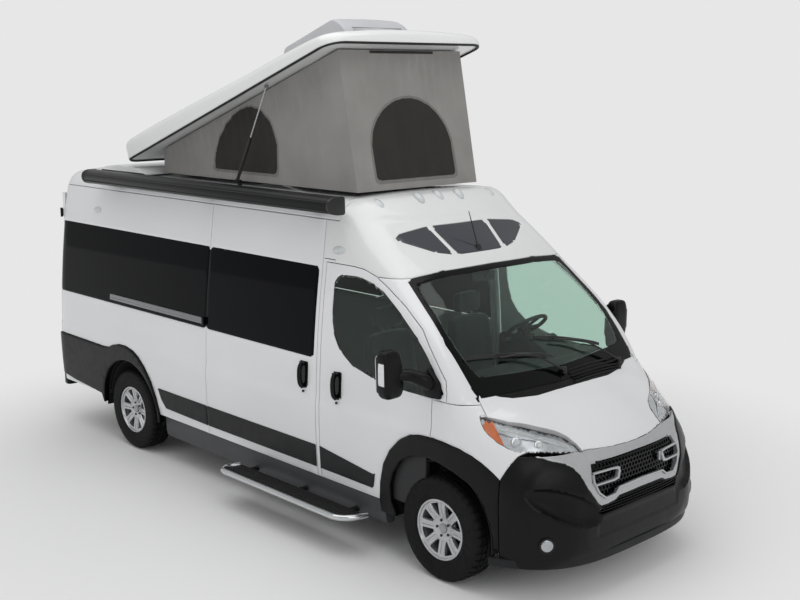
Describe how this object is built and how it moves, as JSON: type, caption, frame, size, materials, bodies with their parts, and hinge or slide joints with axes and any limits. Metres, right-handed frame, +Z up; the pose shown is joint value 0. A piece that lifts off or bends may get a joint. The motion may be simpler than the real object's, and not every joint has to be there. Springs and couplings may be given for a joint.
{
  "type": "camper van",
  "caption": "High-roof camper van with hinged cab doors, rear doors and hood, steered front wheels and a front-lifting pop-top roof over a canvas tent.",
  "frame": {"origin": "on the ground, at the middle of the overall box", "axes": "+X forward along the van, +Y to its left (driver) side, +Z up"},
  "size_m": [6.383, 2.69, 3.8731],
  "materials": {
    "body_white": "gloss",
    "cap_white": "gloss",
    "black_plastic": "satin grained",
    "gloss_black": "gloss",
    "underbody": "matt",
    "engine": "rough",
    "steel": "satin",
    "polished_tube": "polished",
    "alloy": "satin",
    "tyre": "matt",
    "grille_silver": "satin",
    "lamp_clear": "gloss",
    "lamp_red": "gloss",
    "glass_tint": "gloss",
    "glass_dark": "gloss",
    "canvas": "woven",
    "seat_cloth": "satin",
    "trim_dark": "matt",
    "grey_plastic": "satin",
    "awning_black": "satin",
    "floor_grey": "satin"
  },
  "bodies": {
    "root": {"floor_pan": "floor_grey", "side_wall_right": "body_white", "side_wall_left": "body_white", "roof": "body_white", "nose_cap": "cap_white", "cab_frame": "body_white", "windshield": "glass_tint", "cowl": "black_plastic", "wipers": "black_plastic", "front_fenders": "body_white", "front_bumper": "black_plastic", "grille": "grille_silver", "headlamps": "lamp_clear", "rear_bumper": "black_plastic", "tail_lamps": "lamp_red", "lower_cladding": "black_plastic", "sliding_door": "body_white", "fixed_windows": "glass_dark", "awning": "awning_black", "running_board": "polished_tube", "hitch_receiver": "underbody", "tent": "canvas", "hinge_brackets": "awning_black", "cab_seats": "seat_cloth", "dashboard": "trim_dark", "engine_block": "engine", "front_subframe": "underbody", "rear_axle": "underbody", "chassis_frame": "underbody", "exhaust": "steel"},
    "hood": {"hood": "body_white"},
    "front_door_right": {"front_door_right": "body_white", "front_door_glass_right": "glass_tint", "mirror_right": "black_plastic"},
    "front_door_left": {"front_door_left": "body_white", "front_door_glass_left": "glass_tint", "mirror_left": "black_plastic"},
    "rear_door_right": {"rear_door_right": "body_white", "rear_door_glass_right": "glass_dark"},
    "rear_door_left": {"rear_door_left": "body_white", "rear_door_glass_left": "glass_dark"},
    "poptop": {"poptop_shell": "cap_white", "air_conditioner": "grey_plastic"},
    "strut_cylinders": {"strut_cylinders": "awning_black"},
    "strut_rods": {"strut_rods": "steel"},
    "steering_wheel": {"steering_wheel": "trim_dark"},
    "knuckle_right": {"knuckle_right": "engine"},
    "knuckle_left": {"knuckle_left": "engine"},
    "wheel_front_right": {"tyre_front_right": "tyre", "rim_front_right": "alloy"},
    "wheel_front_left": {"tyre_front_left": "tyre", "rim_front_left": "alloy"},
    "wheel_rear_right": {"tyre_rear_right": "tyre", "rim_rear_right": "alloy"},
    "wheel_rear_left": {"tyre_rear_left": "tyre", "rim_rear_left": "alloy"}
  },
  "joints": [
    {"name": "steer_left", "type": "hinge", "parent": "root", "child": "knuckle_left", "pos_m": [2.2435, 0.83, 0.205], "axis": [0, -0.2233, 0.9748], "range_deg": [-35, 35]},
    {"name": "steer_right", "type": "hinge", "parent": "root", "child": "knuckle_right", "pos_m": [2.2435, -0.83, 0.205], "axis": [0, 0.2233, 0.9748], "range_deg": [-35, 35]},
    {"name": "steering_wheel_turn", "type": "hinge", "parent": "root", "child": "steering_wheel", "pos_m": [1.7335, 0.445, 1.485], "axis": [-0.6157, 0, 0.788], "range_deg": [-560, 560]},
    {"name": "wheel_front_left_spin", "type": "hinge", "parent": "knuckle_left", "child": "wheel_front_left", "pos_m": [2.2435, 0.905, 0.372], "axis": [0, 1, 0], "continuous": true},
    {"name": "wheel_front_right_spin", "type": "hinge", "parent": "knuckle_right", "child": "wheel_front_right", "pos_m": [2.2435, -0.905, 0.372], "axis": [0, 1, 0], "continuous": true},
    {"name": "wheel_rear_left_spin", "type": "hinge", "parent": "root", "child": "wheel_rear_left", "pos_m": [-1.7915, 0.895, 0.372], "axis": [0, 1, 0], "continuous": true},
    {"name": "wheel_rear_right_spin", "type": "hinge", "parent": "root", "child": "wheel_rear_right", "pos_m": [-1.7915, -0.895, 0.372], "axis": [0, 1, 0], "continuous": true},
    {"name": "front_door_left_hinge", "type": "hinge", "parent": "root", "child": "front_door_left", "pos_m": [2.1935, 1, 1.1], "axis": [0, 0, -1], "range_deg": [0, 68]},
    {"name": "front_door_right_hinge", "type": "hinge", "parent": "root", "child": "front_door_right", "pos_m": [2.1935, -1, 1.1], "axis": [0, 0, 1], "range_deg": [0, 68]},
    {"name": "rear_door_left_hinge", "type": "hinge", "parent": "root", "child": "rear_door_left", "pos_m": [-3.1635, 0.905, 1.4], "axis": [0, 0, -1], "range_deg": [0, 180]},
    {"name": "rear_door_right_hinge", "type": "hinge", "parent": "root", "child": "rear_door_right", "pos_m": [-3.1635, -0.905, 1.4], "axis": [0, 0, 1], "range_deg": [0, 180]},
    {"name": "hood_hinge", "type": "hinge", "parent": "root", "child": "hood", "pos_m": [2.5055, 0, 1.3], "axis": [0, -1, 0], "range_deg": [0, 50]},
    {"name": "poptop_hinge", "type": "hinge", "parent": "root", "child": "poptop", "pos_m": [-2.0565, 0, 2.6], "axis": [0, 1, 0], "range_deg": [0, 18.9], "deforming": ["tent"]},
    {"name": "strut_cylinder_hinge", "type": "hinge", "parent": "root", "child": "strut_cylinders", "pos_m": [-0.3765, 0, 2.572], "axis": [0, 1, 0], "range_deg": [0, 55.79]},
    {"name": "strut_rod_slide", "type": "slide", "parent": "strut_cylinders", "child": "strut_rods", "axis": [0.4873, 0, 0.8733], "range_m": [-0.32506, 0]}
  ],
  "couplings": [
    {"joint": "steer_right", "follows": "steer_left", "ratio": 1},
    {"joint": "steering_wheel_turn", "follows": "steer_left", "ratio": 16},
    {"joint": "strut_cylinder_hinge", "follows": "poptop_hinge", "ratio": 2.949},
    {"joint": "strut_rod_slide", "follows": "poptop_hinge", "m_per_rad": -0.98391}
  ]
}
